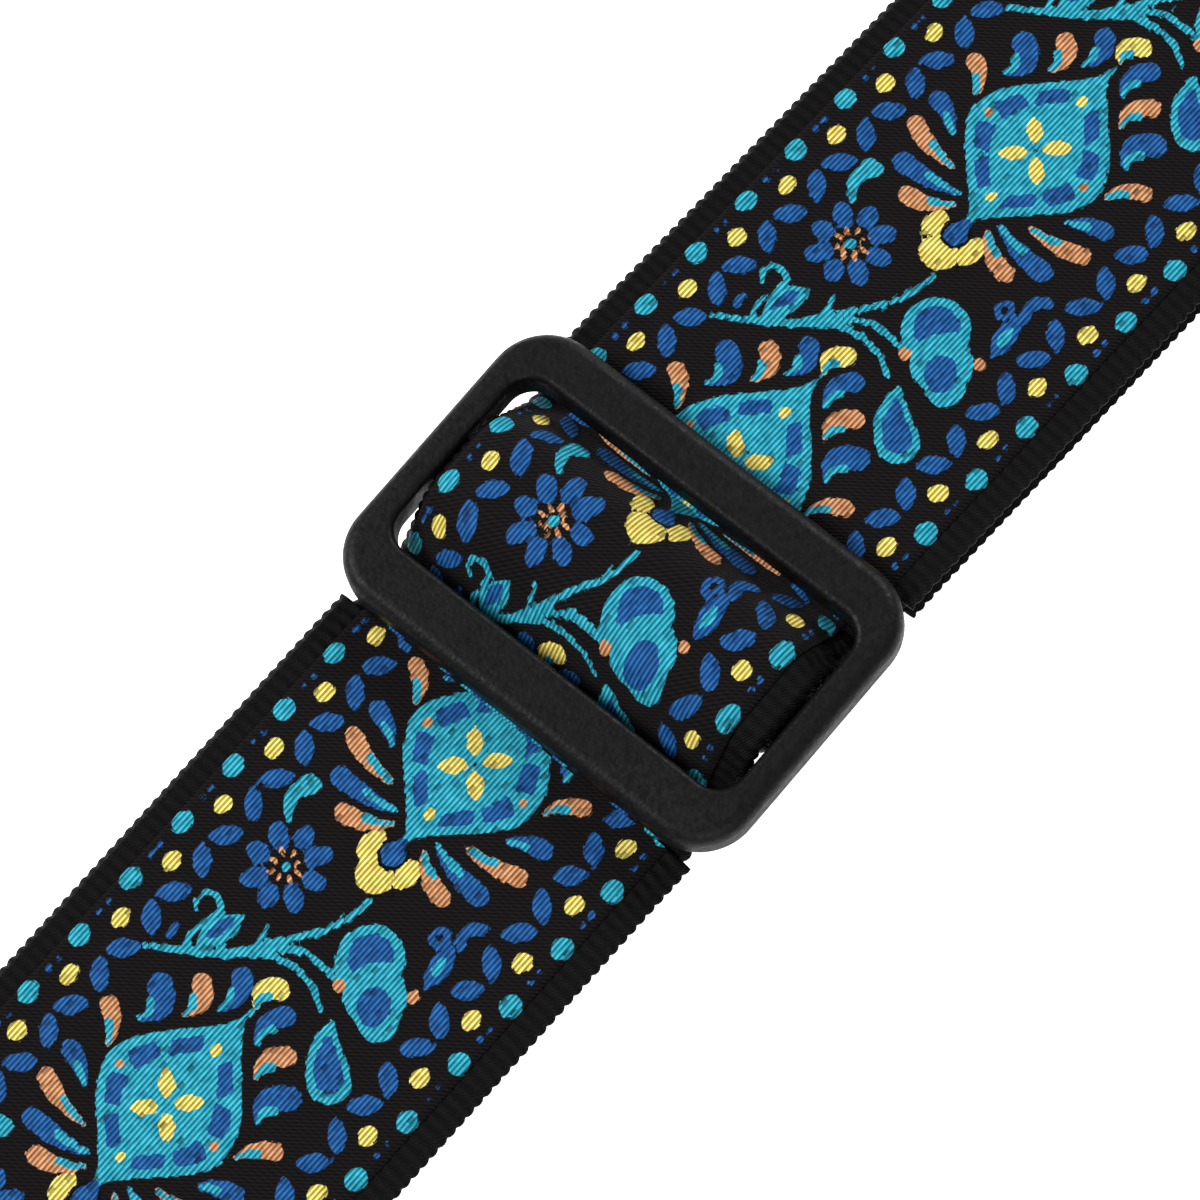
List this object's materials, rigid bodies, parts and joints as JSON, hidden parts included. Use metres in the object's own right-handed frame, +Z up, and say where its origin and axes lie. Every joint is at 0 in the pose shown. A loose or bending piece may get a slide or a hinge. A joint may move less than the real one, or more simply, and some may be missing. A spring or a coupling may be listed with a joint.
{
  "type": "guitar strap",
  "caption": "Adjustable woven guitar strap with a patterned ribbon, a moulded slide adjuster, a rectangular ring and leather end tabs with button holes.",
  "frame": {"origin": "middle of the whole strap's box, on the surface that it lies on", "axes": "+X along the strap towards the ring's end tab, +Y across it, +Z up from the surface, pattern upwards"},
  "size_m": [0.9484, 0.0572, 0.0183],
  "materials": {
    "webbing": "black ribbed polypropylene webbing",
    "ribbon": "jacquard woven ribbon, blue, teal, yellow and tan on black",
    "thread": "black bonded polyester thread",
    "leather": "black grained leather, cut edges",
    "moulding": "black injection moulded acetal, fine grain"
  },
  "bodies": {
    "strap": {"strap_tab_upper": "leather", "strap_tab_lower": "leather", "strap_tab_stitching": "thread", "webbing_long_run": "webbing", "ribbon_long_run": "ribbon"},
    "adjuster": {"adjuster_frame": "moulding", "webbing_hump": "webbing", "ribbon_hump": "ribbon", "webbing_bar_loop": "webbing", "webbing_face_run": "webbing", "ribbon_face_run": "ribbon", "webbing_return_run": "webbing", "ribbon_return_run": "ribbon"},
    "ring_end": {"webbing_ring_turn": "webbing", "ribbon_ring_turn": "ribbon"},
    "ring": {"ring": "moulding"},
    "ring_tab": {"ring_tab_outer": "leather", "ring_tab_lining": "leather", "ring_tab_stitching": "thread"}
  },
  "joints": [
    {"name": "adjuster_slide", "type": "slide", "parent": "strap", "child": "adjuster", "axis": [1, 0, 0], "range_m": [-0.12, 0.12], "deforming": ["webbing_long_run", "ribbon_long_run"]},
    {"name": "ring_end_slide", "type": "slide", "parent": "adjuster", "child": "ring_end", "axis": [1, 0, 0], "range_m": [-0.06, 0.06], "deforming": ["webbing_face_run", "ribbon_face_run", "webbing_return_run", "ribbon_return_run"]},
    {"name": "ring_swing", "type": "hinge", "parent": "ring_end", "child": "ring", "pos_m": [0.3578, 0.0003, 0.0044], "axis": [0, -1, 0], "range_deg": [-75, 75]},
    {"name": "ring_tab_swing", "type": "hinge", "parent": "ring", "child": "ring_tab", "pos_m": [0.3822, 0.0003, 0.0044], "axis": [0, -1, 0], "range_deg": [-75, 75]}
  ],
  "couplings": [
    {"joint": "ring_end_slide", "follows": "adjuster_slide", "ratio": -0.5}
  ]
}
